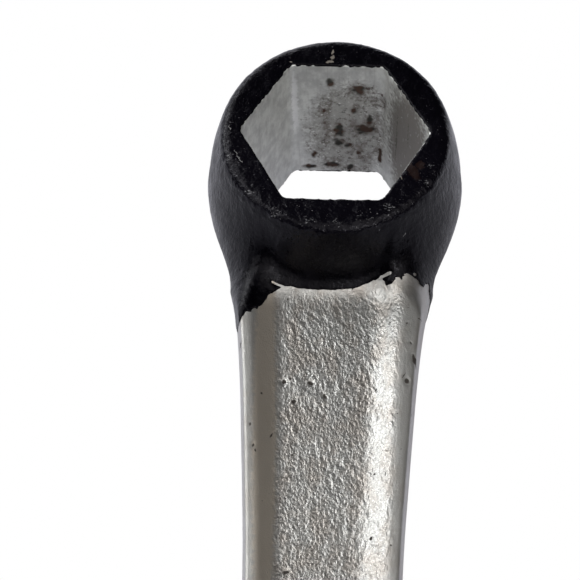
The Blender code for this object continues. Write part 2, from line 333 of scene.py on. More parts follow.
def gradient(field, points, step=0.02):
    """Slope of a field at points."""
    slope = np.empty_like(points)
    for axis in range(3):
        offset = np.zeros(3)
        offset[axis] = step
        ahead = field(*(points + offset).T)
        behind = field(*(points - offset).T)
        slope[:, axis] = (ahead - behind) / (2 * step)
    return slope


def settle(field, points, rounds=2):
    """Move points along the slope onto the field's zero level."""
    for _ in range(rounds):
        slope = gradient(field, points)
        size = np.maximum((slope * slope).sum(axis=1), 0.25)
        move = slope * (field(*points.T) / size)[:, None]
        points = points - np.clip(move, -0.3, 0.3)
    return points


# ---------------------------------------------------------------- noise

def noise(points, size, seed):
    """Gradient noise between about -1 and 1, with cells of a size in mm along x, d and z."""
    rng = np.random.default_rng(seed)
    directions = rng.normal(size=(1024, 3))
    directions /= np.linalg.norm(directions, axis=1)[:, None]
    scaled = points / np.asarray(size, float)
    cell = np.floor(scaled).astype(np.int64)
    local = scaled - cell
    fade = local ** 3 * (local * (local * 6 - 15) + 10)
    total = np.zeros(len(points))
    for corner in itertools.product((0, 1), repeat=3):
        at = cell + corner
        key = (at[:, 0] * 73856093 ^ at[:, 1] * 19349663 ^ at[:, 2] * 83492791) & 1023
        towards = (directions[key] * (local - corner)).sum(axis=1)
        weight = np.ones(len(points))
        for k in range(3):
            weight *= fade[:, k] if corner[k] else 1 - fade[:, k]
        total += weight * towards
    return total * 1.6


def layered_noise(points, size, seed, layers=3):
    """Noise with finer, weaker layers added."""
    total = np.zeros(len(points))
    for layer in range(layers):
        total += noise(points, np.asarray(size) / 2 ** layer, seed + layer) / 2 ** layer
    return total / 1.5


# ---------------------------------------------------------------- skins

PAINT_DEPTH = 0.08                       # black enamel stands this far above the silver
HIDDEN_DEPTH = 0.25                      # deeper than this, a skin can't be seen
PLAIN_START = 74.0                       # past this, the shank is plain for a long way
PLAIN_STOP = 10.0                        # up to this far before the web's end
SKIN = 0.6                               # thickness of a coat's skin
EDGE_DIP = 0.35                          # a coat dips this deep past the line where it ends
RING_COAT_END = 30.0                     # well past the black paint's lower edge
SILVER_RING_GAP = 17.5                   # the silver starts this far from the ring's axis
SILVER_JAW_GAP = 27.5                    # and stops this far from the jaw's middle
SINK_UNDER_BLACK = 0.25                  # the silver lies this much deeper under the black
JAW_PAINT_RADIUS = 31.0
JAW_COAT_END = 36.0


def spaced(*stretches):
    """Grid positions over stretches given as (start, end, spacing), end to end."""
    pieces = []
    for start, end, spacing in stretches:
        steps = max(1, round((end - start) / spacing))
        pieces.append(np.linspace(start, end, steps + 1)[:-1])
    return np.concatenate(pieces + [[stretches[-1][1]]])


def to_frame(points):
    """Wrench terms in mm to the frame's metres."""
    moved = np.empty_like(points)
    moved[:, 0] = points[:, 0]
    moved[:, 1] = RING_Y - points[:, 1]
    moved[:, 2] = points[:, 2] + PARTING_Z
    return moved * MM


def make_mesh(name, points, quads):
    """A mesh from arrays. The frame mirrors d, so the corners go round the other way."""
    mesh = bpy.data.meshes.new(name)
    mesh.vertices.add(len(points))
    mesh.vertices.foreach_set("co", to_frame(points).ravel())
    mesh.loops.add(quads.size)
    mesh.loops.foreach_set("vertex_index", quads[:, ::-1].ravel().astype(np.int32))
    mesh.polygons.add(len(quads))
    mesh.polygons.foreach_set("loop_start", np.arange(0, quads.size, 4, dtype=np.int32))
    mesh.update(calc_edges=True)
    return mesh


def thin_out(obj, hidden, plain, ratio):
    """Leave fewer faces where the skin is hidden or plain, and freeze the result."""
    group = obj.vertex_groups.new(name="thinned")
    group.add(np.flatnonzero(hidden).tolist(), 1.0, "REPLACE")
    group.add(np.flatnonzero(plain & ~hidden).tolist(), 0.5, "REPLACE")
    decimate = obj.modifiers.new("thin out", "DECIMATE")
    decimate.vertex_group = group.name
    decimate.ratio = ratio
    evaluated = obj.evaluated_get(bpy.context.evaluated_depsgraph_get())
    mesh = bpy.data.meshes.new_from_object(evaluated)
    obj.modifiers.clear()
    obj.vertex_groups.clear()
    old, obj.data = obj.data, mesh
    bpy.data.meshes.remove(old)


def add_skin(name, node, field, axes, relief, hidden_field, ratio):
    """Build one piece that stands for a CAD node, from its field and its surface relief."""
    grid = np.ix_(*axes)
    points, quads = surface_net(axes, field(*grid))
    points = settle(field, points)
    hidden = hidden_field(*points.T)
    slope = gradient(field, points)
    slope /= np.maximum(np.linalg.norm(slope, axis=1), 1e-6)[:, None]
    height, wear_and_painted_light = relief(points, slope)
    height = np.where(hidden, 0.0, height)
    points = points + slope * height[:, None]
    obj = bpy.data.objects.new(name, make_mesh(name, points, quads))
    bpy.context.collection.objects.link(obj)
    layer = obj.data.attributes.new("wear_and_painted_light", "FLOAT", "POINT")
    layer.data.foreach_set("value", np.clip(wear_and_painted_light, 0.0, 1.0).astype(np.float32))
    plain_end = JAW_DISTANCE - WEB_END - PLAIN_STOP
    plain = (points[:, 1] > PLAIN_START) & (points[:, 1] < plain_end)
    thin_out(obj, hidden, plain, ratio)
    obj.data.shade_smooth()
    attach(obj, "root")
    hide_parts(node)
    return obj


# The black paint's lower edge, front and back, as (x, d) points across the shank.
FRONT_LINE = ((-16.0, 28.0), (-13.1, 27.5), (-12.8, 27.8), (-12.5, 26.8), (-11.8, 26.0),
              (-11.1, 25.8), (-10.3, 25.3), (-9.8, 24.5), (-9.3, 23.4), (-9.0, 22.5),
              (-8.3, 22.1), (-7.8, 21.5), (-7.2, 21.0), (-6.0, 20.8), (-4.9, 21.0), (-3.0, 21.2),
              (0.0, 21.25), (3.0, 21.0), (4.5, 20.5), (6.4, 19.8), (7.4, 19.6), (7.7, 20.2),
              (8.0, 20.8), (8.5, 20.9), (8.9, 20.4), (9.5, 19.9), (9.8, 19.7), (11.8, 19.4),
              (12.2, 19.6), (12.8, 20.3), (13.1, 20.6), (13.5, 20.0), (13.8, 19.4), (14.1, 19.1),
              (14.3, 20.9), (14.6, 22.9), (16.0, 23.0))
# Thin tongues of silver that run over the black in front, as ends and half width.
SILVER_TONGUES = (((-8.5, 20.5), (-6.8, 20.9), 0.08), ((7.2, 19.6), (8.5, 19.4), 0.14))
BACK_LINE = ((-16.0, 24.0), (-12.0, 23.2), (-9.0, 21.4), (-4.0, 21.9), (0.0, 22.3), (5.0, 21.6),
             (8.0, 22.9), (11.0, 21.2), (13.0, 22.9), (16.0, 23.6))


def plan_noise(x, d, size, seed):
    """Noise over x and d alone, for fields given as grids or as loose points."""
    x, d = np.broadcast_arrays(x, d)
    points = np.stack((x.ravel(), d.ravel(), np.zeros(x.size)), axis=1)
    return noise(points, (size, size, 1.0), seed).reshape(x.shape)


def line_at(x, line):
    """d of a paint line at x."""
    xs, ds = zip(*line)
    return np.interp(x, xs, ds)


def ring_paint_reach(x, d, z):
    """How far inside the ring's black paint a point is."""
    front = ramp(z, -1.5, 1.5)
    line = front * line_at(x, FRONT_LINE) + (1 - front) * line_at(x, BACK_LINE)
    ragged = 0.15 + 0.85 * ramp(np.abs(x + 1.0), 6.0, 9.0) + 1.3 * ramp(x, 8.5, 10.0)
    reach = line - d + ragged * (0.45 * plan_noise(x, d, 0.8, 31)
                                 + 0.30 * plan_noise(x, d, 0.4, 32))
    for (ax, ad), (bx, bd), half_width in SILVER_TONGUES:
        along = ((x - ax) * (bx - ax) + (d - ad) * (bd - ad)) / ((bx - ax) ** 2 + (bd - ad) ** 2)
        along = np.clip(along, 0.0, 1.0)
        beside = np.hypot(x - ax - along * (bx - ax), d - ad - along * (bd - ad)) - half_width
        reach = np.minimum(reach, np.where(z > 1.0, beside, 9.0))
    return reach


def ring_lift(x, d, z):
    """Height of the ring's enamel over the wrench's full size; below zero it dips out of sight."""
    reach = ring_paint_reach(x, d, z)
    return -EDGE_DIP + EDGE_DIP * ramp(reach, -EDGE_DIP, 0.25)


def ring_enamel_field(x, d, z):
    """The enamel on the box end, as a skin whose lower edge dips under the silver."""
    outer = outer_field(x, d, z)
    skin = np.maximum(outer - ring_lift(x, d, z), -outer - SKIN)
    skin = np.maximum(skin, d - RING_COAT_END)
    ragged = 0.24 - 0.13 * ramp(np.abs(x), 5.5, 8.5)
    worn = 0.05 + ragged * plan_noise(x, d, 0.8, 33) * ramp(-d, -9.0, 2.0)
    return smooth_max(skin, worn - hexagon_field(x, d), 0.3)


def silver_field(x, d, z):
    """The silver paint on the shank, which runs under the black at both ends."""
    outer = outer_field(x, d, z)
    under_black = ramp(ring_paint_reach(x, d, z), 0.8, 2.2)
    skin = np.maximum(outer + PAINT_DEPTH + SINK_UNDER_BLACK * under_black, -outer - SKIN)
    near_jaw = SILVER_JAW_GAP - np.hypot(x, d - JAW_DISTANCE)
    return np.maximum(skin, np.maximum(SILVER_RING_GAP - np.hypot(x, d), near_jaw))


def jaw_paint_reach(x, d, z):
    """How far inside the jaw's black paint a point is."""
    wave = 0.8 * np.sin(x * 0.55 + 1.2 * np.sign(z)) + 0.5 * np.sin(x * 1.3 + 2.0)
    return JAW_PAINT_RADIUS + wave - np.hypot(x, d - JAW_DISTANCE)


def jaw_enamel_field(x, d, z):
    """The enamel on the open end, as a skin that dips under the silver on the neck."""
    outer = outer_field(x, d, z)
    lift = -EDGE_DIP + EDGE_DIP * ramp(jaw_paint_reach(x, d, z), -EDGE_DIP, 0.25)
    skin = np.maximum(outer - lift, -outer - SKIN)
    skin = np.maximum(skin, JAW_DISTANCE - JAW_COAT_END - d)
    return smooth_max(skin, 0.15 - slot_field(x, d), 0.3)


def forging_field(x, d, z):
    """The bare forging: flush at the hexagon and the slot, well under the paint elsewhere."""
    openings = openings_field(x, d)
    inset = 0.12 + 0.6 * ramp(openings, 0.6, 2.2)
    return smooth_max(outer_field(x, d, z) + inset, -openings, 0.35)


def skin_is_hidden(x, d, z):
    """Points on the inner side of a coat."""
    return outer_field(x, d, z) < -HIDDEN_DEPTH


def forging_is_hidden(x, d, z):
    """Points of the forging under the coats."""
    return openings_field(x, d) > 1.2


# ---------------------------------------------------------------- relief

# Pits and scratches in the silver's front, as (x, d, half width, half length, lean, depth).
SILVER_MARKS = ((-6.2, 36.0, 0.32, 0.40, 0.0, 0.30), (-5.3, 35.6, 0.15, 0.20, 0.0, 0.10),
                (-2.4, 36.1, 0.45, 0.36, 0.3, 0.22), (-0.4, 38.2, 0.26, 0.55, -0.5, 0.22),
                (-4.7, 39.1, 0.36, 0.42, 0.0, 0.16), (-4.7, 64.0, 0.42, 0.30, 0.0, 0.30),
                (6.3, 59.2, 0.20, 0.26, 0.0, 0.12), (6.6, 50.0, 0.16, 0.16, 0.0, 0.10),
                (6.7, 37.1, 0.16, 0.20, 0.0, 0.10), (11.45, 30.4, 0.10, 0.36, -0.45, 0.10),
                (11.9, 33.0, 0.27, 1.00, -0.25, 0.14), (10.9, 36.4, 0.34, 0.55, -0.2, 0.12),
                (10.5, 35.5, 0.09, 0.55, 0.5, 0.06), (10.9, 27.2, 0.18, 0.15, 0.0, 0.08),
                (11.1, 24.7, 0.10, 0.10, 0.0, 0.06), (12.7, 26.5, 0.24, 0.08, 0.3, 0.06),
                (8.5, 26.8, 0.15, 0.12, 0.0, 0.06), (-10.4, 43.7, 0.15, 0.30, 0.0, 0.10),
                (-9.8, 46.8, 0.17, 0.42, 0.35, 0.14), (-12.5, 30.8, 0.12, 0.30, 0.0, 0.08),
                (-7.5, 44.6, 0.10, 0.55, 0.4, 0.05), (9.6, 41.5, 0.10, 0.12, 0.0, 0.06))


def waves(points):
    """Slow unevenness of the forging, the same through every coat."""
    return 0.06 * layered_noise(points, (9.0, 13.0, 9.0), 11, 2)


def mark_mask(points, marks):
    """Depth and darkness of soft-edged marks on the front."""
    x, d, z = points.T
    depth = np.zeros(len(points))
    dark = np.zeros(len(points))
    for place_x, place_d, width, length, lean, deep in marks:
        across = (x - place_x) * math.cos(lean) + (d - place_d) * math.sin(lean)
        along = (d - place_d) * math.cos(lean) - (x - place_x) * math.sin(lean)
        shape = np.exp(-(across / width) ** 2 - (along / length) ** 2) * (z > 1.0)
        depth = np.maximum(depth, deep * shape)
        dark = np.maximum(dark, ramp(shape, 0.30, 0.75))
    return depth, dark


def silver_relief(points, slope):
    """A peened web with bumps drawn out along the shank, and smoother rails."""
    x, d, z = points.T
    share = rail_share(x, d)
    left = ramp(x, -8.0, -4.5)
    flat_top = ramp(d, 21.0, 30.0)
    facing = ramp(np.abs(slope[:, 2]), 0.5, 0.9)
    web = np.where(x > 0, ramp(share, 1.0, 0.8), ramp(share, 0.35, 0.0))
    rough = 0.10 + 0.90 * web * (0.55 + 0.45 * left) * (0.60 + 0.40 * flat_top) * facing
    sheared = points.copy()
    sheared[:, 0] -= 0.7 * (d - 20.0) - 0.014 * (d - 20.0) ** 2
    bumps = noise(sheared, (0.42, 0.80, 1.2), 41) + 0.7 * noise(sheared, (0.75, 1.4, 1.8), 42)
    patches = 0.85 + 0.9 * noise(points, (2.6, 3.6, 5.0), 43)
    depth, dark = mark_mask(points, SILVER_MARKS)
    height = waves(points) + 0.070 * rough * patches * bumps - depth
    return height, rough


def enamel_relief(points, slope):
    """Thick enamel: brushed walls, a lumpy rim, and a bead along its edge."""
    x, d, z = points.T
    rim = ramp(np.abs(z), RING_HALF - 3.0, RING_HALF - 0.7)
    near = 0.45 + 0.55 * ramp(d, -6.0, 6.0)
    peel = 0.022 * noise(points, (1.6, 1.6, 3.0), 51) + 0.014 * noise(points, (0.6, 0.6, 1.8), 52)
    lumps = 0.15 * near * layered_noise(points, (1.3, 1.3, 1.3), 53, 3)
    specks = 0.10 * near * ramp(noise(points, (0.55, 0.55, 0.55), 56), 0.45, 0.85)
    reach = ring_paint_reach(x, d, z)
    bead = 0.03 * np.exp(-((reach - 0.5) / 0.45) ** 2)
    drop = 0.22 * np.exp(-((x - 8.3) ** 2 + (d - 20.4) ** 2) / 0.25) * (z > 0)
    height = waves(points) + peel + rim * (lumps + specks) + bead + drop
    return height, near * ramp(np.abs(z), RING_HALF - 1.4, RING_HALF - 0.5)


def jaw_relief(points, slope):
    """The same enamel on the open end."""
    peel = 0.016 * noise(points, (1.8, 1.8, 3.0), 61) + 0.010 * noise(points, (0.7, 0.7, 2.4), 62)
    lumps = 0.03 * layered_noise(points, (1.7, 1.7, 1.7), 63, 2)
    bead = 0.06 * np.exp(-((jaw_paint_reach(*points.T) - 0.5) / 0.45) ** 2)
    return waves(points) + peel + lumps + bead, np.zeros(len(points))


# Corrosion pits in the hexagon's far flat, as (x, z, half width, half height, depth).
BORE_PITS = ((0.4, -2.4, 1.00, 1.8, 0.14), (0.3, -5.4, 1.00, 1.0, 0.14),
             (4.7, -2.1, 1.6, 1.4, 0.16), (5.2, 0.4, 0.5, 1.2, 0.08),
             (7.1, -8.7, 0.4, 2.6, 0.08), (2.3, -12.3, 0.6, 0.8, 0.12),
             (-1.0, 9.6, 0.7, 1.1, 0.06), (3.3, 7.9, 1.2, 1.1, 0.08),
             (1.9, -6.2, 0.6, 0.7, 0.08), (-3.6, -8.8, 0.5, 1.0, 0.08),
             (-0.8, -11.6, 1.3, 0.8, 0.06), (2.6, 2.8, 0.6, 0.7, 0.06),
             (-2.0, 2.6, 0.4, 0.8, 0.05), (3.6, -8.2, 0.5, 0.5, 0.06),
             (-4.4, -12.2, 1.2, 0.6, 0.05))


def forging_relief(points, slope):
    """Broached flats: fine vertical lines, a mottled skin, and pits in the far flat."""
    x, d, z = points.T
    lines = 0.007 * noise(points, (0.45, 0.45, 9.0), 71)
    skin = 0.020 * layered_noise(points, (1.3, 1.3, 1.8), 72, 2)
    dark = np.zeros(len(points))
    depth = np.zeros(len(points))
    warp = noise(points, (0.8, 0.8, 0.8), 75)
    for place_x, place_z, width, height, deep in BORE_PITS:
        shape = np.exp(-((x - place_x) / width) ** 2 - ((z - place_z) / height) ** 2 + 0.9 * warp)
        shape = shape * ramp(-d, HALF_FLATS - 1.0, HALF_FLATS - 0.4) * (-d < HALF_FLATS + 0.5)
        depth = np.maximum(depth, deep * np.minimum(shape, 1.2))
        dark = np.maximum(dark, ramp(shape, 0.18, 0.65))
    return waves(points) + lines + skin - depth, dark


FINE = 0.26
ring_axes = (spaced((-20.0, 20.0, FINE)), spaced((-20.6, 30.5, FINE)),
             spaced((-14.3, 14.3, FINE)))
shank_axes = (spaced((-17.0, -8.5, 0.32), (-8.5, 9.0, 0.20), (9.0, 17.0, 0.32)),
              spaced((16.0, 20.0, 0.3), (20.0, 68.0, 0.27), (68.0, 110.0, 0.6),
                     (110.0, JAW_DISTANCE - 24.0, 0.8)), spaced((-7.4, 7.4, 0.26)))
jaw_axes = (spaced((-27.0, 27.0, 0.35)), spaced((JAW_DISTANCE - 37.0, JAW_DISTANCE + 31.0, 0.35)),
            spaced((-6.6, 6.6, 0.33)))
forging_axes = (spaced((-27.0, -14.5, 0.5), (-14.5, 14.5, 0.25), (14.5, 27.0, 0.5)),
                spaced((-20.6, 20.6, 0.3), (20.6, JAW_DISTANCE - 16.0, 1.2),
                       (JAW_DISTANCE - 16.0, JAW_DISTANCE + 31.0, 0.4)),
                spaced((-14.3, 14.3, 0.28)))

ring = add_skin("ring_enamel", "ring_black_coat", ring_enamel_field, ring_axes, enamel_relief,
                skin_is_hidden, 0.52)
shank = add_skin("shank_silver", "shank_silver_coat", silver_field, shank_axes, silver_relief,
                 skin_is_hidden, 0.33)
jaw = add_skin("jaw_enamel", "jaw_black_coat", jaw_enamel_field, jaw_axes, jaw_relief,
               skin_is_hidden, 0.6)
forging = add_skin("bare_forging", "forged_body", forging_field, forging_axes, forging_relief,
                   forging_is_hidden, 0.4)


# ---------------------------------------------------------------- materials

class Painter:
    """Adds the nodes of one material, working in the wrench's own millimetres."""

    def __init__(self, name, colour, roughness, metallic):
        self.material = bpy.data.materials.new(name)
        self.material.use_nodes = True
        self.nodes = self.material.node_tree.nodes
        self.links = self.material.node_tree.links
        self.shader = self.nodes["Principled BSDF"]
        self.shader.inputs["Base Color"].default_value = (*colour, 1.0)
        self.shader.inputs["Roughness"].default_value = roughness
        self.shader.inputs["Metallic"].default_value = metallic
        coordinates = self.nodes.new("ShaderNodeTexCoord").outputs["Object"]
        self.place = self.mapped(coordinates, (0.0, RING_Y, -PARTING_Z),
                                 (1 / MM, -1 / MM, 1 / MM), "POINT")

    def add(self, kind, values, **settings):
        """Add a node, with its inputs set or linked by name or number."""
        node = self.nodes.new(kind)
        for key, value in settings.items():
            setattr(node, key, value)
        for key, value in values.items():
            if isinstance(value, bpy.types.NodeSocket):
                self.links.new(value, node.inputs[key])
            else:
                node.inputs[key].default_value = value
        return node

    def mapped(self, vector, location, scale, kind, turn=0.0):
        """Coordinates moved, turned and scaled."""
        values = {"Vector": vector, "Location": location, "Scale": scale,
                  "Rotation": (0.0, 0.0, turn)}
        return self.add("ShaderNodeMapping", values, vector_type=kind).outputs["Vector"]

    def noise(self, size, detail=2.0, roughness=0.5):
        """Noise with cells of a size in mm along x, d and z."""
        scaled = self.mapped(self.place, (0.0, 0.0, 0.0), [1 / s for s in size], "POINT")
        values = {"Vector": scaled, "Scale": 1.0, "Detail": detail, "Roughness": roughness}
        return self.add("ShaderNodeTexNoise", values).outputs["Fac"]

    def ramp(self, value, low, high, start=0.0, end=1.0):
        """A smooth step between two numbers."""
        values = {"Value": value, "From Min": low, "From Max": high, "To Min": start,
                  "To Max": end}
        node = self.add("ShaderNodeMapRange", values, interpolation_type="SMOOTHSTEP")
        return node.outputs["Result"]

    def math(self, operation, first, second):
        """One sum."""
        return self.add("ShaderNodeMath", {0: first, 1: second}, operation=operation).outputs[0]

    def mix(self, share, first, second):
        """One colour over another."""
        first = (*first, 1.0) if isinstance(first, tuple) else first
        values = {"Factor": share, 6: first, 7: (*second, 1.0)}
        return self.add("ShaderNodeMix", values, data_type="RGBA").outputs[2]

    def wear_and_painted_light(self):
        """The mask that came with the surface's relief."""
        return self.add("ShaderNodeAttribute", {}, attribute_name="wear_and_painted_light").outputs["Fac"]

    def spots(self, places, wobble=0.25):
        """Marks with uneven edges, as (x, d, z, half sizes along each, lean)."""
        values = {"Vector": self.place, "Scale": 1.6, "Detail": 3.0}
        offset = self.add("ShaderNodeTexNoise", values)
        centred = self.add("ShaderNodeVectorMath", {0: offset.outputs["Color"],
                                                    1: (-0.5, -0.5, -0.5)}, operation="ADD")
        scaled = self.add("ShaderNodeVectorMath", {0: centred.outputs[0], "Scale": 4 * wobble},
                          operation="SCALE")
        warped = self.add("ShaderNodeVectorMath", {0: self.place, 1: scaled.outputs[0]},
                          operation="ADD").outputs[0]
        total = None
        for place, sizes, lean in places:
            local = self.mapped(warped, place, sizes, "TEXTURE", lean)
            far = self.add("ShaderNodeVectorMath", {0: local}, operation="LENGTH").outputs["Value"]
            mask = self.ramp(far, 1.0, 0.6)
            total = mask if total is None else self.math("MAXIMUM", total, mask)
        return total

    def bump(self, layers):
        """Fine relief, as (height, depth in mm) layers, one on another."""
        normal = None
        for height, depth in layers:
            values = {"Height": height, "Distance": depth * MM}
            if normal is not None:
                values["Normal"] = normal
            normal = self.add("ShaderNodeBump", values).outputs["Normal"]
        self.links.new(normal, self.shader.inputs["Normal"])

    def paint(self, **sockets):
        """Link sockets to the shader, such as Base_Color=colour."""
        for name, socket in sockets.items():
            self.links.new(socket, self.shader.inputs[name.replace("_", " ")])


def make_silver():
    """Aluminium paint, with a fine grain, painted lighter and browner on the left slope, painted
    shade on its smooth rails, and dirt in its pits.
    """
    painter = Painter("silver paint", (0.48, 0.47, 0.45), 0.4, 0.85)
    grain = painter.noise((0.16, 0.20, 0.16), 2.0, 0.6)
    tint = painter.noise((3.0, 5.0, 3.0), 3.0, 0.6)
    colour = painter.mix(painter.ramp(tint, 0.40, 0.66), (0.535, 0.53, 0.515),
                         (0.46, 0.43, 0.40))
    # Painted shade: the smooth rails, where this mask is low, are painted darker.
    colour = painter.mix(painter.ramp(painter.wear_and_painted_light(), 0.0, 0.5, 0.6, 0.0), colour,
                         (0.35, 0.345, 0.33))
    # Painted light with a brown tint: the left slope is painted lighter and browner.
    left_slope_tint_and_light = painter.spots((((-8.5, 44.0, 4.0), (2.0, 40.0, 4.0), -0.040),), 0.3)
    colour = painter.mix(painter.math("MULTIPLY", left_slope_tint_and_light, 0.7), colour, (0.74, 0.66, 0.555))
    colour = painter.mix(painter.ramp(grain, 0.56, 0.78, 0.0, 0.4), colour, (0.66, 0.66, 0.65))
    dots = painter.ramp(painter.noise((0.7, 1.0, 0.7), 1.0), 0.775, 0.81)
    places = [((x, d, 4.0), (1.25 * width, 1.15 * length, 4.0), lean)
              for x, d, width, length, lean, _depth in SILVER_MARKS]
    dirt = painter.math("MAXIMUM", painter.spots(places, 0.10), dots)
    colour = painter.mix(dirt, colour, (0.030, 0.024, 0.020))
    rough = painter.math("ADD", painter.ramp(grain, 0.3, 0.7, 0.37, 0.52),
                         painter.math("MULTIPLY", dirt, 0.4))
    rough = painter.math("SUBTRACT", rough, painter.math("MULTIPLY", painter.wear_and_painted_light(), 0.12))
    painter.paint(Base_Color=colour, Roughness=rough,
                  Metallic=painter.ramp(dirt, 0.0, 1.0, 0.85, 0.0))
    peened = painter.math("MULTIPLY", painter.noise((0.36, 0.52, 0.5), 2.0, 0.5), painter.wear_and_painted_light())
    plain = painter.spots((((0.0, 110.0, 0.0), (60.0, 50.0, 60.0), 0.0),
                           ((0.0, 170.0, 0.0), (60.0, 60.0, 60.0), 0.0)), 0.1)
    coarse = painter.math("MULTIPLY", painter.noise((0.80, 1.40, 1.6), 3.0, 0.6),
                          painter.math("MULTIPLY", plain, painter.wear_and_painted_light()))
    painter.bump(((coarse, 0.20), (grain, 0.035), (peened, 0.165)))
    return painter.material


def make_enamel(name, chips, rust, scratches, glint_spots):
    """Thick blue-black enamel. Chips show a pale undercoat. Glints and a sheen on the rim are
    painted into its colour.
    """
    painter = Painter(name, (0.002, 0.002, 0.003), 0.3, 0.0)
    painter.shader.inputs["Specular Tint"].default_value = (0.93, 0.91, 1.0, 1.0)
    painter.shader.inputs["Specular IOR Level"].default_value = 0.13
    film = painter.noise((2.5, 2.5, 4.0), 4.0, 0.65)
    colour = painter.mix(painter.ramp(film, 0.45, 0.75), (0.0004, 0.0003, 0.0010),
                         (0.0014, 0.0012, 0.0026))
    # Light grey specks on the rim: partly dust, partly painted glints.
    specks = painter.ramp(painter.noise((0.30, 0.30, 0.30), 1.0), 0.73, 0.80)
    # Painted sheen: the rim's top, where the mask is high, is painted a little lighter.
    colour = painter.mix(painter.wear_and_painted_light(), colour, (0.0032, 0.0028, 0.0048))
    dust_and_glints = painter.math("MULTIPLY", specks, painter.wear_and_painted_light())
    colour = painter.mix(dust_and_glints, colour, (0.16, 0.155, 0.16))
    # Painted highlights: glints on the rim's outer corner, painted as light grey strokes.
    if glint_spots:
        strokes = painter.ramp(painter.noise((0.62, 0.30, 0.40), 4.0, 0.7), 0.52, 0.64)
        groups = painter.ramp(painter.noise((1.6, 1.2, 1.6), 1.0), 0.48, 0.58)
        painted_highlight = painter.math("MULTIPLY", painter.math("MULTIPLY", strokes, groups),
                              painter.spots(glint_spots, 0.7))
        colour = painter.mix(painted_highlight, colour, (0.19, 0.19, 0.20))
    bare = None
    for places, shade in ((rust, (0.0105, 0.0045, 0.0035)), (scratches, (0.22, 0.22, 0.22)),
                          (chips, (0.19, 0.172, 0.150))):
        if places:
            mask = painter.spots(places)
            colour = painter.mix(mask, colour, shade)
            bare = mask if bare is None else painter.math("MAXIMUM", bare, mask)
    rough = painter.math("SUBTRACT", painter.ramp(film, 0.3, 0.7, 0.20, 0.36),
                         painter.math("MULTIPLY", painter.wear_and_painted_light(), 0.12))
    if bare is not None:
        rough = painter.math("ADD", rough, painter.math("MULTIPLY", bare, 0.35))
    painter.paint(Base_Color=colour, Roughness=rough)
    crust = painter.math("MULTIPLY", painter.noise((0.8, 0.8, 0.8), 2.0, 0.6), painter.wear_and_painted_light())
    painter.bump(((painter.noise((0.9, 0.9, 1.6), 3.0, 0.6), 0.15),
                  (painter.noise((0.30, 0.30, 0.42), 2.0, 0.6), 0.035), (crust, 0.12)))
    return painter.material


def make_steel():
    """Dull bare steel: mottled, finely lined, with brown and black corrosion in its pits, painted
    shade on its right-hand and far flats, and a painted highlight on one corner.
    """
    painter = Painter("bare steel", (0.42, 0.42, 0.40), 0.5, 0.7)
    mottle = painter.noise((1.6, 1.6, 2.2), 4.0, 0.6)
    colour = painter.mix(painter.ramp(mottle, 0.32, 0.68), (0.60, 0.605, 0.59),
                         (0.84, 0.85, 0.83))
    lines = painter.noise((0.30, 0.30, 12.0), 2.0)
    colour = painter.mix(painter.ramp(lines, 0.55, 0.75, 0.0, 0.22), colour, (0.40, 0.39, 0.37))
    smear = painter.spots((((3.6, -HALF_FLATS, 7.4), (3.2, 1.5, 2.4), 0.0),
                           ((6.8, -HALF_FLATS, 5.6), (3.0, 1.8, 2.2), 0.0)), 0.8)
    smudge = painter.ramp(painter.noise((1.1, 1.1, 1.0), 4.0, 0.7), 0.36, 0.62)
    colour = painter.mix(painter.math("MULTIPLY", smear, smudge), colour, (0.115, 0.085, 0.075))
    # Painted shade: the hexagon's right-hand flats are painted darker and browner.
    painted_shade_right = painter.spots((((11.0, -5.0, 2.0), (5.5, 8.5, 17.0), 0.0),), 1.6)
    colour = painter.mix(painter.math("MULTIPLY", painted_shade_right, 0.85), colour, (0.165, 0.145, 0.13))
    # Painted highlight: a bright streak down the corner between the left and far flats.
    painted_highlight = painter.spots((((-6.5, -HALF_FLATS, 4.0), (0.6, 1.0, 9.0), 0.0),), 0.3)
    colour = painter.mix(painter.math("MULTIPLY", painted_highlight, 0.6), colour, (1.0, 1.0, 1.0))
    glints = painter.ramp(painter.noise((0.6, 0.6, 1.1), 3.0, 0.6), 0.62, 0.74, 0.0, 0.45)
    colour = painter.mix(glints, colour, (1.0, 1.0, 0.99))
    streaks = painter.spots((((9.4, -8.0, 2.0), (0.20, 0.20, 8.0), 0.0),
                             ((11.0, -5.2, 6.0), (0.14, 0.14, 4.5), 0.0)), 0.25)
    colour = painter.mix(painter.math("MULTIPLY", streaks, 0.7), colour, (0.09, 0.08, 0.07))
    # Painted shade: the far flat is painted darker as a whole, and darker still in mottled clouds.
    far_flat = painter.spots((((1.8, -HALF_FLATS, -3.0), (8.0, 1.6, 15.0), 0.0),), 1.4)
    cloud = painter.ramp(painter.noise((1.4, 1.4, 1.8), 5.0, 0.7), 0.42, 0.66)
    colour = painter.mix(painter.math("MULTIPLY", far_flat, 0.6), colour, (0.32, 0.31, 0.285))
    colour = painter.mix(painter.math("MULTIPLY", cloud, far_flat), colour, (0.24, 0.22, 0.20))
    flecks = painter.ramp(painter.noise((0.8, 0.8, 1.0), 3.0, 0.65), 0.53, 0.68)
    rot = painter.math("MAXIMUM", painter.wear_and_painted_light(),
                       painter.math("MULTIPLY", painter.math("MULTIPLY", flecks, far_flat), 0.6))
    brown = painter.mix(painter.ramp(painter.noise((1.5, 1.5, 1.5), 1.0), 0.45, 0.55),
                        (0.030, 0.028, 0.024), (0.060, 0.030, 0.020))
    colour = painter.add("ShaderNodeMix", {"Factor": rot, 6: colour, 7: brown},
                         data_type="RGBA").outputs[2]
    rough = painter.math("ADD", painter.ramp(mottle, 0.3, 0.7, 0.40, 0.58),
                         painter.math("MULTIPLY", rot, 0.3))
    painter.paint(Base_Color=colour, Roughness=rough,
                  Metallic=painter.ramp(rot, 0.0, 1.0, 0.7, 0.1))
    painter.bump(((lines, 0.012), (painter.noise((0.3, 0.3, 0.4), 3.0, 0.6), 0.03)))
    return painter.material


RIM_Z = RING_HALF - 0.3
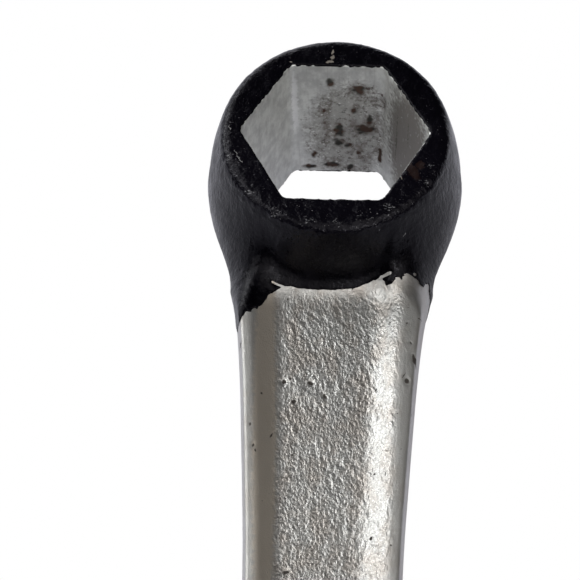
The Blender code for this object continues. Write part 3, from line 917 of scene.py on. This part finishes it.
# Marks on the rim, as (x, d, z), half sizes and lean.
CHIPS = (((-0.8, -14.6, RIM_Z), (0.22, 0.6, 2.0), 0.3),
         ((-0.7, -13.6, RIM_Z), (0.36, 0.5, 2.0), 0.0),
         ((-1.1, -12.8, RIM_Z), (0.7, 0.3, 2.0), 0.0),
         ((-6.9, -12.6, RIM_Z), (0.4, 0.14, 2.0), 0.0),
         ((9.4, 7.6, RIM_Z), (0.16, 1.5, 2.0), -0.5))
RUST = (((11.2, 6.9, RIM_Z), (0.9, 2.3, 2.5), -0.5), ((12.4, 6.0, RIM_Z), (0.8, 0.9, 2.5), 0.0))
SCRATCHES = (((-13.6, 5.6, RIM_Z), (0.09, 1.1, 1.5), -0.55),
             ((-14.2, 4.4, RIM_Z), (0.08, 0.6, 1.5), -0.4),
             ((10.1, 15.2, 9.7), (0.50, 0.3, 0.10), 0.4),
             ((-15.4, -0.2, RIM_Z), (0.10, 0.5, 1.0), -0.3))
# Places on the rim's outer corner where glints are painted into the enamel as light grey strokes:
# painted highlights.
RIM_GLINTS = (((14.1, 6.5, RIM_Z), (0.9, 1.0, 2.0), 0.0), ((12.7, 8.8, RIM_Z), (1.1, 0.9, 2.0), 0.6),
        ((10.4, 12.1, RIM_Z), (1.2, 0.9, 2.0), 0.7), ((7.9, 13.6, RIM_Z), (1.9, 0.9, 2.0), 0.5),
        ((4.9, 15.6, RIM_Z), (2.2, 0.6, 2.0), 0.3), ((0.3, 16.1, RIM_Z), (1.8, 0.5, 2.0), 0.0),
        ((-15.4, 0.2, RIM_Z), (0.9, 1.8, 2.0), -0.1), ((-14.6, 4.8, RIM_Z), (1.3, 2.0, 2.0), 0.4),
        ((-11.4, 11.3, RIM_Z), (1.6, 1.6, 2.0), -0.7), ((-8.3, 14.4, RIM_Z), (1.8, 0.9, 2.0), -0.5),
        ((-6.1, 12.8, RIM_Z), (1.2, 0.8, 2.0), 0.0), ((-3.4, 15.8, RIM_Z), (1.6, 0.5, 2.0), -0.2))
enamel = make_enamel("black enamel on the ring", CHIPS, RUST, SCRATCHES, RIM_GLINTS)
jaw_paint = make_enamel("black enamel on the open end", (), (), (), ())
silver = make_silver()
steel = make_steel()

for piece, material, slot_name in ((ring, enamel, "black_enamel"),
                                   (jaw, jaw_paint, "black_enamel"),
                                   (shank, silver, "silver_paint"),
                                   (forging, steel, "forged_steel")):
    piece.data.materials.append(material)

# ---------------------------------------------------------------- floor, light and camera


def add_floor():
    """A pale floor that looks white, and throws back only a little light."""
    bpy.ops.mesh.primitive_plane_add(size=6.0, location=(0.0, 0.0, -0.0002))
    floor = bpy.context.active_object
    floor.name = "floor"
    material = bpy.data.materials.new("pale floor")
    material.use_nodes = True
    nodes, links = material.node_tree.nodes, material.node_tree.links
    nodes.clear()
    output = nodes.new("ShaderNodeOutputMaterial")
    mix = nodes.new("ShaderNodeMixShader")
    path = nodes.new("ShaderNodeLightPath")
    plain = nodes.new("ShaderNodeBsdfDiffuse")
    plain.inputs["Color"].default_value = (0.88, 0.89, 0.99, 1.0)
    lift = nodes.new("ShaderNodeEmission")
    lift.inputs["Color"].default_value = (0.11, 0.11, 0.12, 1.0)
    lifted = nodes.new("ShaderNodeAddShader")
    glow = nodes.new("ShaderNodeEmission")
    glow.inputs["Color"].default_value = (1.0, 1.0, 1.0, 1.0)
    links.new(plain.outputs["BSDF"], lifted.inputs[0])
    links.new(lift.outputs["Emission"], lifted.inputs[1])
    links.new(path.outputs["Is Camera Ray"], mix.inputs["Fac"])
    links.new(lifted.outputs["Shader"], mix.inputs[1])
    links.new(glow.outputs["Emission"], mix.inputs[2])
    links.new(mix.outputs["Shader"], output.inputs["Surface"])
    floor.data.materials.append(material)


LIGHTS_AIM = Vector((0.0, RING_Y * MM - 0.03, 0.015))
LIGHTS_DISTANCE = 0.8


def add_softbox(name, azimuth, elevation, size, power, colour):
    """A soft light that faces the wrench. Azimuth 0 is behind the ring, and 90 is to its right."""
    data = bpy.data.lights.new(name, "AREA")
    data.shape = "RECTANGLE"
    data.size, data.size_y = size
    data.energy = power
    data.color = colour
    box = bpy.data.objects.new(name, data)
    bpy.context.collection.objects.link(box)
    level = math.cos(elevation)
    towards = Vector((math.sin(azimuth) * level, math.cos(azimuth) * level, math.sin(elevation)))
    box.location = LIGHTS_AIM + towards * LIGHTS_DISTANCE
    box.rotation_mode = "QUATERNION"
    box.rotation_quaternion = towards.to_track_quat("Z", "Y")
    return box


def add_world():
    """White to the camera, and a dim grey room to everything else."""
    world = bpy.data.worlds.new("room")
    bpy.context.scene.world = world
    world.use_nodes = True
    nodes, links = world.node_tree.nodes, world.node_tree.links
    nodes.clear()
    output = nodes.new("ShaderNodeOutputWorld")
    mix = nodes.new("ShaderNodeMixShader")
    path = nodes.new("ShaderNodeLightPath")
    room = nodes.new("ShaderNodeBackground")
    room.inputs["Color"].default_value = (0.004, 0.004, 0.005, 1.0)
    white = nodes.new("ShaderNodeBackground")
    white.inputs["Color"].default_value = (1.0, 1.0, 1.0, 1.0)
    links.new(path.outputs["Is Camera Ray"], mix.inputs["Fac"])
    links.new(room.outputs["Background"], mix.inputs[1])
    links.new(white.outputs["Background"], mix.inputs[2])
    links.new(mix.outputs["Shader"], output.inputs["Surface"])


CAMERA_AZIMUTH = math.radians(4.4)
CAMERA_ELEVATION = math.radians(58.8)
CAMERA_ROLL = math.radians(-2.4)
CAMERA_DISTANCE = 16.0                   # in hexagon sides, from the box end's upper face
CAMERA_SLIDE = (-0.47, -1.67)            # in hexagon sides, across and down the picture
FIELD_OF_VIEW = math.radians(21.438)


def add_camera():
    """Look down at the box end from over the shank."""
    a, e, r = CAMERA_AZIMUTH, CAMERA_ELEVATION, CAMERA_ROLL
    back = Vector((math.sin(a) * math.cos(e), -math.cos(a) * math.cos(e), math.sin(e)))
    level = Vector((math.cos(a), math.sin(a), 0.0))
    upright = back.cross(level)
    right = level * math.cos(r) + upright * math.sin(r)
    up = upright * math.cos(r) - level * math.sin(r)
    data = bpy.data.cameras.new("camera")
    data.lens_unit = "FOV"
    data.angle = FIELD_OF_VIEW
    data.clip_start, data.clip_end = 0.01, 20.0
    camera = bpy.data.objects.new("camera", data)
    bpy.context.collection.objects.link(camera)
    side = HEX_SIDE * MM
    face = Vector((0.0, RING_Y * MM, RING_HI[2] * MM))
    camera.location = face + side * (back * CAMERA_DISTANCE + right * CAMERA_SLIDE[0]
                                     + up * CAMERA_SLIDE[1])
    camera.rotation_mode = "QUATERNION"
    camera.rotation_quaternion = Matrix((right, up, back)).transposed().to_quaternion()
    bpy.context.scene.camera = camera


add_floor()
add_world()
for softbox, azimuth, elevation, size, power, colour in (
        ("front_softbox", 160, 55, (1.1, 0.9), 2.6, (1.0, 0.98, 0.96)),
        ("front_right_softbox", 125, 50, (0.9, 0.8), 1.3, (1.0, 0.97, 0.93)),
        ("left_softbox", -90, 55, (0.4, 0.3), 1.1, (1.0, 0.99, 0.96)),
        ("back_left_softbox", -60, 55, (0.4, 0.3), 0.8, (0.99, 1.0, 0.99)),
        ("low_left_softbox", -50, 18, (0.4, 0.16), 1.55, (0.98, 1.0, 1.0)),
        ("front_glint", 150, 40, (0.08, 0.08), 0.7, (1.0, 1.0, 1.0)),
        ("left_glint", -110, 30, (0.09, 0.09), 0.4, (1.0, 1.0, 1.0)),
        ("left_strip", -70, 30, (0.4, 0.3), 0.8, (0.98, 1.0, 1.0)),
        ("back_strip", -35, 30, (0.4, 0.3), 0.45, (0.97, 0.97, 1.0)),
        ("low_back_strip", -15, 8, (0.4, 0.16), 0.9, (0.94, 0.94, 1.0))):
    add_softbox(softbox, math.radians(azimuth), math.radians(elevation), size, power, colour)
add_camera()
bpy.context.scene.view_settings.view_transform = "Standard"
